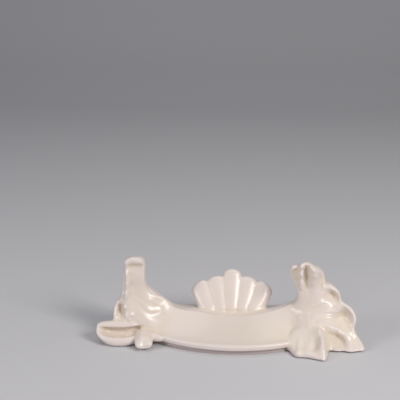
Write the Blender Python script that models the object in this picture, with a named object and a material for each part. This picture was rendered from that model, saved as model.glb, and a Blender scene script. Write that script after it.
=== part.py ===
"""A glazed ceramic plate display stand: a bowed bed, two leaf prongs before the plate and a shell behind it.

The whole form is modelled first, as a bed with leaves and tapering fingers that run into each other. It is
then cut along flat joins into the castings that a potter sticks together with slip. Lengths below are in
millimetres, with X to the right, Y to the back and Z up, measured from the middle of the plate's seat. The
model is in metres.
"""

import math

import bmesh
import bpy
import numpy as np
from mathutils import Matrix, Vector

MM = 0.001

# Driving dimensions
PLATE_RADIUS = 127.0
PLATE_LEAN = math.radians(16)
SEAT_HEIGHT = 22.0  # lowest point of the plate's rim above the table
FRONT_REACH = 47.5  # from the seat to the middle of the bowed front
FRONT_BOW_RADIUS = 125.0
FRONT_BOW_CENTRE = 2.0
BACK_REACH = 54.0
HALF_LENGTH = 101.0  # of the bed, under the leaves
WALL = 5.0
JOINT_GAP = 0.3
SOLE_GAP = 0.35
FOOT_HEIGHT = 4.0
LIP_OVERHANG = 1.5
LIP_HEIGHT = 10.0
LIP_WIDTH = 3.0  # of the flat along the top of the front edge
SEAT_DEPTH = 1.2  # of the shallow channel that the rim stands in
FOOT_WALL = 5.0
FOOT_SET_BACK = 2.2  # of the foot inside the bed's edge
BACK_HEIGHT = 12.0
CREST = -3.0  # y of the bed's highest line, just in front of the seat
PRONG_CLEARANCE = 2.5  # between the prongs and the plate's face
MIDDLE = Vector((-1.15, -1.8, 0.0))  # from the seat to the middle of the footprint, which is the origin

# How finely the forms are drawn
FINGER_STATIONS = 9
FINGER_SIDES = 10
BED_STATIONS = 27
LEAF_SHARES = (0.2, 0.38, 0.54, 0.68, 0.8, 0.9, 0.965)  # of the way from a leaf's root to its rim
RIM_SHARE = 0.11  # of that way, over which the rim is rounded
TINY = 1e-9

GLAZE = dict(colour=(0.80, 0.71, 0.62, 1.0), roughness=0.15)
DRY_FOOT = dict(colour=(0.74, 0.66, 0.57, 1.0), roughness=0.5)


def metres(point):
    """A design point in millimetres, as the model's own coordinates."""
    return (Vector(point) - MIDDLE) * MM


def smooth_through(values, where):
    """The value at `where`, from 0 to 1, on a smooth curve through evenly spaced numbers or vectors."""
    last = len(values) - 1
    span = min(int(where * last), last - 1)
    t = where * last - span
    before = values[span - 1] if span else values[0] * 2 - values[1]
    after = values[span + 2] if span + 2 <= last else values[last] * 2 - values[last - 1]
    start, end = values[span], values[span + 1]
    return (
        start * 2
        + (end - before) * t
        + (before * 2 - start * 5 + end * 4 - after) * t**2
        + (start * 3 - before - end * 3 + after) * t**3
    ) * 0.5


# ---------------------------------------------------------------- leaf fingers


def dome(where, length, radius):
    """How far a rounded end has closed in, from 0 at the tip to 1 where the finger has its full section."""
    reach = max(min(radius / length, 0.49), 0.02)
    edge = min(where, 1 - where) / reach
    return math.sqrt(max(1 - (1 - edge) ** 2, 0)) if edge < 1 else 1.0


def finger_rings(spine, widths, thicks, face, stations, sides):
    """Rings of points round a tapering finger with rounded ends; face is the way its broad side looks."""
    spine = [Vector(p) for p in spine]
    length = sum((b - a).length for a, b in zip(spine, spine[1:]))
    face = Vector(face)
    rings = []
    for i in range(stations):
        where = 0.5 - 0.5 * math.cos(math.pi * (i + 0.35) / (stations - 0.3))
        centre = smooth_through(spine, where)
        ahead = smooth_through(spine, min(where + 0.01, 1)) - smooth_through(spine, max(where - 0.01, 0))
        ahead.normalize()
        out = (face - ahead * face.dot(ahead)).normalized()
        across = ahead.cross(out)
        width = smooth_through(widths, where)
        thick = smooth_through(thicks, where)
        closing = dome(where, length, (width + thick) / 2)
        ring = []
        for k in range(sides):
            turn = 2 * math.pi * k / sides
            ring.append(centre + (across * width * math.cos(turn) + out * thick * math.sin(turn)) * closing)
        rings.append(ring)
    tips = [smooth_through(spine, 0.0), smooth_through(spine, 1.0)]
    return rings, tips


def skin(rings, tips):
    """A closed mesh over rings of points; each end is drawn in to its tip, or closed flat if that is None."""
    bm = bmesh.new()
    loops = [[bm.verts.new(metres(p)) for p in ring] for ring in rings]
    for a, b in zip(loops, loops[1:]):
        for k in range(len(a)):
            n = (k + 1) % len(a)
            bm.faces.new((a[k], a[n], b[n], b[k]))
    for loop, tip in zip((loops[0], loops[-1]), tips):
        if tip is None:
            bm.faces.new(loop)
            continue
        pole = bm.verts.new(metres(tip))
        for k in range(len(loop)):
            n = (k + 1) % len(loop)
            bm.faces.new((pole, loop[n], loop[k]))
    bmesh.ops.recalc_face_normals(bm, faces=bm.faces)
    mesh = bpy.data.meshes.new("form")
    bm.to_mesh(mesh)
    bm.free()
    return mesh


SLOPE_FACE = (0, -0.5, 0.85)

# Small leaf fingers: the centre line, half widths, half thicknesses and the way the broad side looks
FINGERS = {
    "left_roll": dict(
        spine=[(-101.8, -3.5, 71), (-100, -6.6, 77), (-94, -7.6, 78.8), (-88, -7.0, 77.6), (-85.8, -4, 73)],
        widths=[2.4, 3.2, 3.6, 3.2, 2.4], thicks=[2.4, 3.2, 3.6, 3.2, 2.4], face=(0, -1, 0)),
    "left_toe": dict(
        spine=[(-86, -16, 10), (-84, -27, 9.5), (-82.4, -36.5, 7.6), (-82.2, -44.6, 4.0)],
        widths=[8, 8, 8.8, 8.4], thicks=[4.6, 4.6, 4.6, 3.4], face=SLOPE_FACE),
    "left_web": dict(
        spine=[(-84, -24, 8.6), (-74, -28, 8.6), (-64, -29.6, 8)],
        widths=[6, 4.6, 3.4], thicks=[5, 4.0, 3.2], face=SLOPE_FACE),
}

# Leaves: the point each spreads from, its outline, and lines of points that its face passes through. Those
# of the prongs and the fan are drawn from the front: a root or a corner is (x, z), and a point on the face is
# (x, y, z).
LEFT_PRONG_ROOT = (-92.0, 34.0)
LEFT_PRONG_OUTLINE = [
    (-44, 12.6), (-45, 18), (-52, 25.5), (-64, 37.6), (-72, 42.5), (-79, 46.5), (-83, 53), (-84, 63),
    (-83.6, 74), (-85.5, 80.5), (-91, 82), (-97, 81.6), (-101.5, 79), (-104, 72), (-105.6, 62),
    (-107, 51), (-108.3, 42), (-111.5, 36.5), (-114.3, 29), (-114.8, 20), (-111, 11), (-103, 5), (-90, 5),
    (-72, 6),
]
LEFT_LINES = [
    [(-97, -12, 79.5), (-91, -13, 80.5), (-86, -12, 79)],  # rolled tip
    [(-97.5, -8.6, 72.5), (-92, -7.4, 72), (-86, -7.4, 72.5)],  # the hollow under it
    [(-97.5, -9.8, 65), (-91, -9.4, 65.5), (-85, -8, 65)],
    [(-98, -10.4, 55.5), (-92, -9.2, 55), (-85.5, -8, 55)],
    [(-98.5, -11.5, 45.5), (-92, -10, 45.5), (-84.5, -8.6, 46)],
    [(-101, -11, 76), (-100.8, -12, 66), (-100.8, -12.6, 56), (-101.8, -13.4, 46)],  # crest beside the edge
    [(-105, -6, 68.5), (-105.6, -6.4, 56), (-106.2, -7.4, 47.5)],
    [(-79, -6, 47.5), (-78.5, -9, 39.5), (-78, -11, 33.5), (-77.5, -14, 27), (-77.5, -17.5, 20.5),
     (-77, -21, 14.5)],
    [(-71, -5, 40), (-70.5, -7.6, 32), (-70, -10.8, 26), (-69.5, -14.8, 20.5), (-69.5, -19.4, 15)],
    [(-88, -11.5, 38.5), (-87.5, -14.5, 31.5), (-87.5, -17.5, 25), (-87.5, -20, 18.5), (-88, -15, 10)],
    [(-95.5, -13.5, 37.5), (-95.5, -16.5, 31), (-96, -18.5, 25), (-96, -19, 18.5), (-97, -12, 10)],
    [(-110.6, -11, 36), (-112, -13, 30), (-111.5, -15, 25)],  # outer rim of the pool
    [(-108, -8.6, 31.5), (-106.8, -11.4, 26)],  # the pool
    [(-102.5, -15, 33.5), (-102, -18.5, 26), (-107, -17.5, 21), (-108, -18, 12)],
]

RIGHT_PRONG_ROOT = (76.0, 42.0)
RIGHT_PRONG_OUTLINE = [
    (50, 25.5), (57, 33), (62.5, 39.4), (63.8, 45), (62, 51.5), (59, 58.5), (56.3, 65.5), (55.2, 71.5),
    (56.8, 75.8), (60.3, 77.2), (63.2, 76.8), (65.8, 79.3), (70, 80.8), (74.6, 80.3), (78, 78.8),
    (82.2, 76), (86, 72), (88.9, 67), (90.3, 60), (92.5, 50), (97, 36), (98, 20), (88, 10), (66, 10),
    (48, 13),
]
RIGHT_FAN_ROOT = (88.0, 24.0)
RIGHT_FAN_OUTLINE = [
    (78, 50), (88, 56.5), (94.6, 57), (99.3, 54.4), (103.3, 50.6), (105.2, 45.4), (106.2, 42),
    (109, 40.2), (113.6, 38), (117.8, 33.6), (120, 28), (119.6, 22.5), (118.4, 18.6), (119.6, 14.8),
    (122.8, 10), (126.2, 5.6), (127.4, 1.8), (122, 0.8), (108, 0.8), (94.8, 0.8), (80, 4), (72, 26),
]
RIGHT_LINES = [
    # prong, from the top down
    [(57.6, -12, 74.5), (58.6, -6.4, 68), (60.4, -5.4, 61), (62, -6.4, 55)],
    [(62.6, -8.4, 73), (63.2, -7.2, 65)],
    [(66.4, -14.6, 77), (66.7, -13.6, 69), (67, -12, 60)],
    [(71, -11.4, 77), (71, -9.8, 73), (71.2, -9.2, 69), (71.4, -8.8, 65), (71.6, -8.8, 61), (71.8, -9.2, 57)],
    [(75.4, -17, 76), (76.6, -17, 69.5), (77, -13.4, 61)],
    [(81.2, -14.5, 72), (82.5, -11, 63.5)],
    [(86.6, -5.4, 64), (87.7, -6, 57)],
    [(65, -8.8, 51), (70.6, -9.6, 51.5), (77, -10.8, 52), (84.5, -9.2, 52)],
    [(65.2, -8.5, 43), (71.6, -10.5, 43.5), (78.4, -11, 44), (86, -10.5, 44)],
    [(60, -8.5, 30), (66.3, -10.5, 34.5), (75.6, -12.5, 35.5), (85, -13, 36)],
    [(60, -16, 22), (66.3, -15.5, 26), (75.6, -18, 27.5), (85, -19.5, 27)],
    [(60, -23, 15), (66, -22.5, 20), (76.3, -26, 20.5)],
    # the fan's upper lobe
    [(94.7, -6.5, 52), (100.5, -7, 51), (104, -8.6, 46)],
    [(99, -2.4, 44.5), (94, -4.4, 45), (96.5, -2.6, 48)],
    [(101.7, -7.4, 40.6), (94.8, -10.5, 39.5)],
    # its middle lobe
    [(94.8, -13.5, 34), (102.4, -13, 36.5), (111, -14.5, 36), (115.7, -16.5, 31), (116.3, -19, 24)],
    [(109.4, -11, 29), (101.6, -13.6, 27.5), (109.2, -15, 22.5)],
    [(94.7, -19, 26), (102.4, -20, 20.5), (111, -22, 17.5), (115.7, -22, 17)],
    # the fold above its lower lobe, and the hollow below
    [(88.7, -25.5, 19.5), (96.4, -25.5, 18), (104, -26, 15.3), (109.8, -28, 11), (113.4, -33, 6)],
    [(93.7, -24.5, 13.2), (100.7, -22, 10), (105.5, -25, 6.5), (108.6, -31, 4.4)],
    [(93.4, -31, 8.7), (100, -31.5, 6.4)],
    [(118.5, -25, 11), (122, -28.5, 7.6), (125, -32.5, 4.3), (119, -32.5, 4.2)],
    [(97, -35, 2.6), (104, -35, 2.6), (110, -36.5, 2.4), (116, -37.5, 2), (122, -36, 1.6)],
]

# The toe lies down, so it is drawn from above: a root or a corner is (x, y), a point on its face (x, z, y).
TOE_ROOT = (76.0, -34.0)
TOE_UNDERSIDE = 0.8
TOE_OUTLINE = [
    (52, -32), (56, -39), (59.4, -47.5), (62.4, -50.8), (69, -51.4), (75.5, -53), (82, -55.6),
    (87.9, -57.6), (90.6, -51), (92, -44), (93.5, -36), (96, -26), (86, -14), (68, -12), (52.6, -18),
]
TOE_LINES = [
    # its ridge
    [(84.5, 21, -33), (86.6, 17.6, -41), (87.8, 13.4, -46.5), (88.2, 9.2, -51), (88, 5, -55)],
    # its long left face, from the apron to the front edge
    [(60, 17, -24), (68, 20, -22.5), (76, 20.5, -26), (90, 17, -24)],
    [(58, 12, -32), (65.9, 14.6, -31), (74, 15, -33), (80.4, 14.6, -37)],
    [(58.5, 8.6, -38), (68.5, 10.2, -38.5), (75.8, 9.8, -41), (81.4, 9.6, -44)],
    [(60, 5.4, -45.5), (63.6, 6.4, -47.5), (70, 6, -49), (76.4, 5.6, -51), (82.6, 5, -54)],
    # its short right face
    [(91.6, 8.4, -36), (91.4, 5, -43), (90.4, 4.2, -50)],
    # where it runs back inside the bed
    [(53, 14, -18), (68, 20, -13), (86, 25, -15), (96, 12, -26)],
]


def relief(lines, give=0.3):
    """A smooth depth over (across, up) that passes near every (across, depth, up) point of the lines."""
    points = np.array([point for line in lines for point in line], dtype=float)
    spots, depths = points[:, (0, 2)], points[:, 1]
    count = len(points)
    system = np.zeros((count + 3, count + 3))
    gaps = ((spots[:, None] - spots[None]) ** 2).sum(2)
    system[:count, :count] = gaps * np.log(gaps + TINY) + np.eye(count) * give
    system[:count, count] = system[count, :count] = 1
    system[:count, count + 1:] = spots
    system[count + 1:, :count] = spots.T
    weights = np.linalg.solve(system, np.append(depths, (0, 0, 0)))

    def depth(across, up):
        gap = ((spots - (across, up)) ** 2).sum(1)
        return float(weights[:count] @ (gap * np.log(gap + TINY)) + weights[count:] @ (1, across, up))

    return depth


def leaf_form(name, root, outline, face, back, lying=False):
    """A leaf with a rounded rim, from its outline and its two faces; one that is lying is seen from above."""
    root = Vector(root)

    def place(share, corner, side):
        across, up = root + (Vector(corner) - root) * share
        near, far = face(across, up), back(across, up)
        inside = max((share - 1 + RIM_SHARE) / RIM_SHARE, 0)
        middle = (near + far) / 2
        depth = middle + ((near if side == "face" else far) - middle) * math.sqrt(1 - inside**2)
        return Vector((across, up, depth)) if lying else Vector((across, depth, up))

    rings = [[place(share, corner, "face") for corner in outline] for share in LEAF_SHARES]
    rings += [[place(1.0, corner, "face") for corner in outline]]
    rings += [[place(share, corner, "back") for corner in outline] for share in reversed(LEAF_SHARES)]
    return helper(name, skin(rings, [place(0.0, root, "face"), place(0.0, root, "back")]))


def ramp(value, low, high):
    """A smooth step from 0 at low to 1 at high."""
    t = min(max((value - low) / (high - low), 0.0), 1.0)
    return t * t * (3 - 2 * t)


def plate_face(z):
    """Y of the front of a plate that leans on the stand."""
    return (z - SEAT_HEIGHT) * math.tan(PLATE_LEAN)


def behind_prong(z, furthest):
    """Y of the back of a prong: clear of the plate above, and well inside the bed below."""
    return min(plate_face(z) - PRONG_CLEARANCE, furthest) + 7.0 * (1 - ramp(z, 20, 50))


def left_prong_back(x, z):
    thinner = 4.5 * ramp(x, -84, -70) * ramp(z, 26, 40)
    return behind_prong(z, 6.0) - 2.0 * ramp(z, 70, 82) - thinner


def right_prong_back(x, z):
    thinner = 4.0 * ramp(-x, -66, -56) * ramp(z, 24, 36) * (1 - ramp(z, 40, 50))
    return behind_prong(z, 5.0) - 8.0 * ramp(z, 60, 80) - thinner


def leaf_forms():
    """The two prongs, the fan and the toe; those on the right share one face, so they run into each other."""
    left = relief(LEFT_LINES + [apron_line(-46), apron_line(-54), apron_line(-62)])
    right = relief(RIGHT_LINES + [apron_line(48), apron_line(54)])

    def fan_back(x, z):
        return max(right(x, z) + 6.5, -27.0 + 21.0 * ramp(z, -6, 46)) + 9.0 * ramp(-x, -108, -84)

    def toe_back(x, y):
        return TOE_UNDERSIDE

    return [
        leaf_form("left_prong", LEFT_PRONG_ROOT, LEFT_PRONG_OUTLINE, left, left_prong_back),
        leaf_form("right_prong", RIGHT_PRONG_ROOT, RIGHT_PRONG_OUTLINE, right, right_prong_back),
        leaf_form("right_fan", RIGHT_FAN_ROOT, RIGHT_FAN_OUTLINE, right, fan_back),
        leaf_form("right_toe", TOE_ROOT, TOE_OUTLINE, relief(TOE_LINES), toe_back, lying=True),
    ]


# Sections of the folded leaf, as (y, z) from its centre: open, where it is a channel, and shut, near its end.
FOLD_OPEN = [
    (8.0, 9.0), (3.5, 9.4), (-0.8, 5.6), (3.2, 3.6), (6.2, 0.2), (3.4, -3.6), (-1.6, -4.8), (-5.4, -3.2),
    (-7.8, -2.2), (-10.4, -4.0), (-11.4, -7.0), (-9.4, -10.3), (-1.0, -10.4), (9.0, -6.0), (12.0, 2.0),
    (11.4, 7.0),
]
FOLD_SHUT = [
    (8.0, 8.4), (3.0, 8.8), (-1.6, 7.0), (-3.6, 5.2), (-5.0, 3.2), (-6.2, 1.4), (-7.2, -0.4),
    (-8.4, -2.0), (-9.6, -3.6), (-10.6, -5.4), (-11.0, -7.4), (-8.8, -10.0), (-1.0, -10.0), (8.0, -6.0),
    (11.0, 1.0), (10.6, 6.0),
]


def folded_leaf():
    """A channel that opens forward, between an upper blade and a lower lobe, drawn in to a blunt end."""
    stations = [
        # x, centre (y, z), size, how open
        (-78, (-17.0, 13.4), 0.74, 1.0), (-87, (-19.5, 12.4), 0.88, 1.0), (-96, (-22.6, 11.5), 0.98, 1.0),
        (-104, (-24.0, 11.1), 1.0, 1.0), (-112, (-24.0, 11.0), 1.0, 1.0), (-118, (-23.6, 11.4), 0.93, 0.95),
        (-122.5, (-23.1, 12.2), 0.81, 0.7), (-126.6, (-22.7, 13.3), 0.63, 0.3),
        (-129.2, (-22.5, 14.0), 0.44, 0.1),
    ]
    rings = []
    for x, centre, size, opened in stations:
        corners = [Vector(a) * opened + Vector(b) * (1 - opened) for a, b in zip(FOLD_OPEN, FOLD_SHUT)]
        rings.append([Vector((x, *(Vector(centre) + corner * size))) for corner in corners])
    tip = sum(rings[-1], Vector()) / len(rings[-1]) - Vector((0.6, 0, 0))
    return helper("folded_leaf", skin(rings, (None, tip)))


SHELL_SPREAD = (-2, -1, 0, 1, 2)


def shell_finger(step):
    """One of the five ribs of the shell that the plate leans on; step counts from the middle one."""
    side = abs(step)
    return dict(
        spine=[
            (9.0 * step, 10, 17),
            (12.5 * step, 18 - side, 31 - 2.2 * side),
            (15.5 * step, 27.6 - 2 * side, 46 - 4 * side),
            (18.0 * step, 34 - 3 * side, 57 - 7 * side),
        ],
        widths=[8, 9.1, 9.7, 8],
        thicks=[6, 5, 4.4, 3.6],
        face=(0.0, -1.0, 0.45),
    )


def finger(name, data):
    rings, tips = finger_rings(
        data["spine"], data["widths"], data["thicks"], data["face"], FINGER_STATIONS, FINGER_SIDES
    )
    return helper(name, skin(rings, tips))


# ---------------------------------------------------------------- the bed


def rim_height(x):
    """Height of the plate's rim above the table at x, for a plate leaning on the stand."""
    return SEAT_HEIGHT + (PLATE_RADIUS - math.sqrt(PLATE_RADIUS**2 - x**2)) * math.cos(PLATE_LEAN)


def front_edge(x):
    """Y of the foot's front, a shallow bow."""
    x = min(max(x, -76.0), 80.0)
    bow = FRONT_BOW_RADIUS - math.sqrt(FRONT_BOW_RADIUS**2 - (x - FRONT_BOW_CENTRE) ** 2)
    return -FRONT_REACH + bow


def back_edge(x):
    """Y of the back, which rounds off towards both ends."""
    return BACK_REACH * (1 - 0.75 * abs(x / HALF_LENGTH) ** 3.2) ** 0.7


def bell(x, centre, spread):
    return math.exp(-(((x - centre) / spread) ** 2))


def seat_height(x):
    """Height of the bed along the seat: it follows the plate's rim, dips on the left, and falls at the ends."""
    slack = 0.4 + 4.4 * bell(x, -54, 14)
    height = rim_height(max(min(x, 64.0), -86.0)) - slack
    if x > 64:
        height -= 0.012 * (x - 64) ** 2
    if x < -86:
        height -= 0.075 * (x + 86) ** 2
    return height


def apron_hollow(x):
    """How strongly the bed's sloping front is hollowed at x; 1 is a straight slope."""
    return 1.15 + 0.9 * min(abs(x) / HALF_LENGTH, 1.0) ** 2


def apron_line(x):
    """Points up the bed's sloping front at x, for the face of a leaf to join."""
    seat = seat_height(x)
    inner = front_edge(x) - LIP_OVERHANG + LIP_WIDTH
    line = []
    for k in range(5):
        z = LIP_HEIGHT + 2 + (seat - LIP_HEIGHT - 5) * k / 4
        share = ((z - LIP_HEIGHT) / (seat - LIP_HEIGHT)) ** (1 / apron_hollow(x))
        line.append((x, inner + (CREST - inner) * share, z))
    return line


def bed_section(x, inset):
    """(y, z) points of one cross-section of the bed, from the front foot over the top to the back foot."""
    front = front_edge(x) - LIP_OVERHANG + inset
    back = max(back_edge(x), front_edge(x) + 4) - inset
    seat = seat_height(x) - inset
    lip = LIP_HEIGHT - inset
    sole = FOOT_HEIGHT + SOLE_GAP if inset == 0 else -1.0
    crest = min(CREST + inset * 0.3, back - 6)
    inner = front + LIP_WIDTH
    run = max(crest - inner, 1.0)
    hollow = apron_hollow(x)
    points = [(front + 1.0, sole), (front + 0.2, sole + 0.8), (front, lip - 1.6), (front + 0.9, lip - 0.2)]
    points.append((inner, lip + 0.2))
    for share in (0.25, 0.5, 0.75):
        points.append((inner + run * share, lip + 0.2 + (seat - lip) * share**hollow))
    points += [(crest, seat + 0.4), (crest + 2.5, seat + SEAT_DEPTH * 0.1), (crest + 5, seat - SEAT_DEPTH)]
    points.append((crest + 8.5, seat - SEAT_DEPTH * 0.6))
    deck = crest + 8.5
    tail = BACK_HEIGHT - inset
    for share in (0.35, 0.7):
        points.append((deck + (back - deck) * share, tail + (seat - SEAT_DEPTH - tail) * (1 - share) ** 0.8))
    points += [(back - 3.5, tail), (back - 0.6, tail - 2.2), (back, (sole + tail) / 2), (back - 0.8, sole)]
    return points


def bed(name, inset, half_length):
    rings = []
    for i in range(BED_STATIONS):
        x = -half_length * math.cos(math.pi * i / (BED_STATIONS - 1))
        rings.append([Vector((x, y, z)) for y, z in bed_section(x, inset)])
    return helper(name, skin(rings, (None, None)))


# ---------------------------------------------------------------- the foot


def widened(outline, grow):
    """The outline, drawn the other way round from a clock's hands, with its sides moved out by grow."""
    corners = []
    for before, corner, after in zip(outline[-1:] + outline[:-1], outline, outline[1:] + outline[:1]):
        sides = [(corner - before).normalized(), (after - corner).normalized()]
        out = (sides[0] + sides[1]).normalized()
        out = Vector((out.y, -out.x))
        reach = grow / max(out.dot(Vector((sides[0].y, -sides[0].x))), 0.5)
        corners.append(corner + out * reach)
    return corners


def foot_outline():
    """Plan of the foot, front edge first, with the toe and the leaf on the right."""
    front = [(x, front_edge(x) + FOOT_SET_BACK) for x in range(-88, 57, 16)]
    toe = [(61.5, -43.5), (66, -47), (75, -48.6), (82, -50.6), (86, -51), (88.6, -42.4), (92.3, -32)]
    leaf = [(103, -28.4), (113, -29.6), (119, -27.6), (115, -19), (104, -6)]
    back = [(x, back_edge(x) - FOOT_SET_BACK) for x in (98, 86, 70, 40, 0, -40, -70, -86)]
    return [Vector(p) for p in front + toe + leaf + back]


def hollow_outline():
    """Plan of the opening under the stand, one wall's width inside the foot."""
    stations = (-84, -70, -50, -25, 0, 25, 50, 70, 84)
    front = [Vector((x, front_edge(x) + FOOT_SET_BACK + FOOT_WALL)) for x in stations]
    back = [Vector((x, back_edge(x) - FOOT_SET_BACK - FOOT_WALL)) for x in reversed(stations)]
    return front + back


def flat_plate(name, loops, bottom, top):
    """A slab between two heights, from a filled outline; further loops are openings in it."""
    curve = bpy.data.curves.new(name, "CURVE")
    curve.dimensions = "2D"
    curve.fill_mode = "BOTH"
    curve.extrude = (top - bottom) / 2 * MM
    for loop in loops:
        spline = curve.splines.new("POLY")
        spline.points.add(len(loop) - 1)
        for point, place in zip(spline.points, loop):
            point.co = (*((place - MIDDLE.xy) * MM), 0, 1)
        spline.use_cyclic_u = True
    obj = bpy.data.objects.new(name, curve)
    obj.location.z = (top + bottom) / 2 * MM
    HELPERS.objects.link(obj)
    bpy.context.view_layer.update()
    graph = bpy.context.evaluated_depsgraph_get()
    mesh = bpy.data.meshes.new_from_object(obj.evaluated_get(graph))
    mesh.transform(obj.matrix_world)
    bpy.data.objects.remove(obj)
    bm = bmesh.new()
    bm.from_mesh(mesh)
    bmesh.ops.remove_doubles(bm, verts=bm.verts, dist=0.01 * MM)
    bmesh.ops.recalc_face_normals(bm, faces=bm.faces)
    bm.to_mesh(mesh)
    bm.free()
    return mesh


# ---------------------------------------------------------------- helpers, joins and castings


def new_collection(name):
    made = bpy.data.collections.new(name)
    bpy.context.scene.collection.children.link(made)
    return made


def helper(name, mesh):
    """A form or a cutter, which is not part of the stand."""
    obj = bpy.data.objects.new(name + "_form", mesh)
    obj.hide_render = True
    obj.display_type = "WIRE"
    HELPERS.objects.link(obj)
    return obj


def combine(obj, others, operation):
    """Joins or cuts obj with all of the other objects, in one exact step."""
    group = new_collection("operands")
    for other in others:
        group.objects.link(other)
    modifier = obj.modifiers.new(operation.lower(), "BOOLEAN")
    modifier.operation = operation
    modifier.operand_type = "COLLECTION"
    modifier.collection = group
    bpy.context.view_layer.update()
    graph = bpy.context.evaluated_depsgraph_get()
    mesh = bpy.data.meshes.new_from_object(obj.evaluated_get(graph))
    obj.modifiers.clear()
    obj.data = mesh
    bpy.data.collections.remove(group)


def without_scraps(mesh):
    """Drops loose scraps, so that one connected body is left."""
    bm = bmesh.new()
    bm.from_mesh(mesh)
    left = set(bm.verts)
    bodies = []
    while left:
        body, edge = set(), [left.pop()]
        while edge:
            vert = edge.pop()
            body.add(vert)
            near = {e.other_vert(vert) for e in vert.link_edges} & left
            left -= near
            edge += near
        bodies.append(body)
    bodies.sort(key=len)
    for body in bodies[:-1]:
        bmesh.ops.delete(bm, geom=list(body), context="VERTS")
    bm.to_mesh(mesh)
    bm.free()


def block(name, low, high, grow=0.0):
    """A box-shaped cutter between two corners, widened by grow on every side."""
    bm = bmesh.new()
    low, high = Vector(low) - Vector((grow,) * 3), Vector(high) + Vector((grow,) * 3)
    size, centre = high - low, metres((low + high) / 2)
    bmesh.ops.create_cube(bm, size=MM, matrix=Matrix.Translation(centre) @ Matrix.Diagonal((*size, 1)))
    mesh = bpy.data.meshes.new(name)
    bm.to_mesh(mesh)
    bm.free()
    return helper(name, mesh)


# Each casting that is luted on to the bed is what lies in one block of the form: its low and high corner.
CASTINGS = {
    "left_prong": ((-125, -40, 30), (-79.3, 40, 100)),
    "left_folded_leaf": ((-140, -60, -5), (-95.6, -1, 29.7)),
    "left_toe_scroll": ((-95.3, -60, -5), (-71, -27, 29.7)),
    "right_prong": ((50, -41, 48), (141, 41, 100)),
    "right_fan_leaf": ((91, -42, 22), (142, 42, 47.7)),
    "right_leaf_tip": ((94, -50, -5), (143, 43, 21.7)),
    "right_toe_leaf": ((54, -80, -5), (93.7, -33, 32)),
    "rear_shell": ((-46, 14, 24), (46, 45, 80)),
}


def clay(name, colour, roughness):
    material = bpy.data.materials.new(name)
    material.use_nodes = True
    shader = material.node_tree.nodes["Principled BSDF"]
    shader.inputs["Base Color"].default_value = colour
    shader.inputs["Roughness"].default_value = roughness
    shader.inputs["Metallic"].default_value = 0.0
    return material


def finished(name, mesh, surface):
    """A part of the stand, placed by its own middle, with its clay on it and its round faces shaded smooth."""
    without_scraps(mesh)
    middle = sum((v.co for v in mesh.vertices), Vector()) / len(mesh.vertices)
    mesh.transform(Matrix.Translation(-middle))
    mesh.materials.clear()
    mesh.materials.append(clay(name + "_clay", **surface))
    mesh.shade_smooth()
    mesh.set_sharp_from_angle(angle=math.radians(35))
    obj = bpy.data.objects.new(name, mesh)
    obj.location = middle
    obj.parent = STAND
    PARTS.objects.link(obj)


def main():
    whole = bed("whole", 0.0, HALF_LENGTH)
    core = bed("core", WALL, HALF_LENGTH - WALL * 2.4)
    forms = leaf_forms()
    forms.append(folded_leaf())
    forms += [finger(name, data) for name, data in FINGERS.items()]
    forms += [finger(f"shell_rib_{step}", shell_finger(step)) for step in SHELL_SPREAD]
    combine(whole, forms, "UNION")

    foot = flat_plate("foot", (foot_outline(), hollow_outline()), 0.0, FOOT_HEIGHT)
    room = flat_plate("room", (widened(foot_outline(), JOINT_GAP),), -2.0, FOOT_HEIGHT + JOINT_GAP)
    combine(whole, [core, helper("foot_room", room)], "DIFFERENCE")
    finished("foot_ring", foot, DRY_FOOT)

    spaces = []
    for name, (low, high) in CASTINGS.items():
        casting = helper(name, whole.data.copy())
        combine(casting, [block(name + "_block", low, high)], "INTERSECT")
        finished(name, casting.data, GLAZE)
        spaces.append(block(name + "_space", low, high, JOINT_GAP))
    combine(whole, spaces, "DIFFERENCE")
    finished("bed_casting", whole.data, GLAZE)


for old in list(bpy.data.objects):
    bpy.data.objects.remove(old)
PARTS = new_collection("plate_display_stand")
HELPERS = new_collection("forms_and_cutters")
HELPERS.hide_render = True
STAND = bpy.data.objects.new("stand", None)
PARTS.objects.link(STAND)
main()
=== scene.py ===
"""A glazed ivory plate stand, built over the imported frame.

Its leaves, fingers and bed are merged into one form, softened and carved, and then cut into castings, one
for each node of the frame. Lengths are in millimetres from the middle of the plate's seat, with X to the
right, Y to the back and Z up, unless they are called metres; those of the floor, the lights and the room
around the stand are in metres.
"""

import math

import bmesh
import bpy
import numpy as np
from mathutils import Matrix, Vector
from mathutils.bvhtree import BVHTree
from mathutils.interpolate import poly_3d_calc


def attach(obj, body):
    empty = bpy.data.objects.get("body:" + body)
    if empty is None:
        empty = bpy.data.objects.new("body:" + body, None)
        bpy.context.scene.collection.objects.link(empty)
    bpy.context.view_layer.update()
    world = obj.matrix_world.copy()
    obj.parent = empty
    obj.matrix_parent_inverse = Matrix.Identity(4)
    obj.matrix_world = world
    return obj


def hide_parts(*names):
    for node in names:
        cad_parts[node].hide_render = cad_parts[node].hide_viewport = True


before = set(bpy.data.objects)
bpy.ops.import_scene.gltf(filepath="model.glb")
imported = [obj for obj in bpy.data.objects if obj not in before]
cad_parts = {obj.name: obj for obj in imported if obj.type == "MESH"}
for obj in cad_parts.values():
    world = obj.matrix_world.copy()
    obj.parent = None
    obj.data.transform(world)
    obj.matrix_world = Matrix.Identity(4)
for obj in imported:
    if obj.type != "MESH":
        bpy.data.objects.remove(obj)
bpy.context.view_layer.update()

MM = 0.001
MIDDLE = Vector((-1.15, -1.8, 0.0))  # from the plate's seat to the middle of the footprint

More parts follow.
